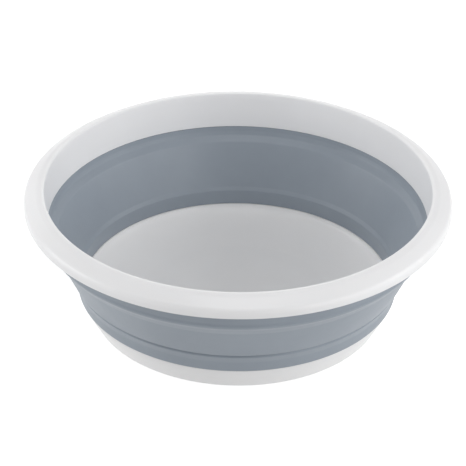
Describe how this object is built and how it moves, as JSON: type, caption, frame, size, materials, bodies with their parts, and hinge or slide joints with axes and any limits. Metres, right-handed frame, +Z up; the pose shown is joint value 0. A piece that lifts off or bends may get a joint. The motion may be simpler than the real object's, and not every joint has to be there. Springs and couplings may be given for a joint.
{
  "type": "folding foot basin",
  "caption": "Round folding foot basin: a white rolled rim and a white dished base joined by a grey rubber wall that folds flat.",
  "frame": {"origin": "on the floor under the centre of the basin", "axes": "+Z up along the centre line, out of the basin's mouth; X and Y are alike"},
  "size_m": [0.4, 0.4, 0.1313],
  "materials": {
    "rim_white": "satin polypropylene",
    "base_white": "satin polypropylene",
    "wall_grey": "matte thermoplastic rubber",
    "foot_grey": "matte thermoplastic rubber"
  },
  "bodies": {
    "base": {"base_pan": "base_white", "wall_lower_band": "wall_grey", "foot_1": "foot_grey", "foot_2": "foot_grey", "foot_3": "foot_grey", "foot_4": "foot_grey"},
    "rim": {"rim_ring": "rim_white", "wall_upper_band": "wall_grey"},
    "fold_1": {"wall_fold_ring_1": "wall_grey"},
    "fold_2": {"wall_fold_ring_2": "wall_grey"},
    "fold_3": {"wall_fold_ring_3": "wall_grey"},
    "fold_4": {"wall_fold_ring_4": "wall_grey"},
    "fold_5": {"wall_fold_ring_5": "wall_grey"}
  },
  "joints": [
    {"name": "rim_collapse", "type": "slide", "parent": "base", "child": "rim", "axis": [0, 0, 1], "range_m": [-0.072, 0]},
    {"name": "fold_1_slide", "type": "slide", "parent": "base", "child": "fold_1", "axis": [0, 0, 1], "range_m": [-0.01152, 0]},
    {"name": "fold_2_slide", "type": "slide", "parent": "base", "child": "fold_2", "axis": [0, 0, 1], "range_m": [-0.02664, 0]},
    {"name": "fold_3_slide", "type": "slide", "parent": "base", "child": "fold_3", "axis": [0, 0, 1], "range_m": [-0.0432, 0]},
    {"name": "fold_4_slide", "type": "slide", "parent": "base", "child": "fold_4", "axis": [0, 0, 1], "range_m": [-0.0576, 0]},
    {"name": "fold_5_slide", "type": "slide", "parent": "base", "child": "fold_5", "axis": [0, 0, 1], "range_m": [-0.06696, 0]}
  ],
  "couplings": [
    {"joint": "fold_1_slide", "follows": "rim_collapse", "ratio": 0.16},
    {"joint": "fold_2_slide", "follows": "rim_collapse", "ratio": 0.37},
    {"joint": "fold_3_slide", "follows": "rim_collapse", "ratio": 0.6},
    {"joint": "fold_4_slide", "follows": "rim_collapse", "ratio": 0.8},
    {"joint": "fold_5_slide", "follows": "rim_collapse", "ratio": 0.93}
  ]
}
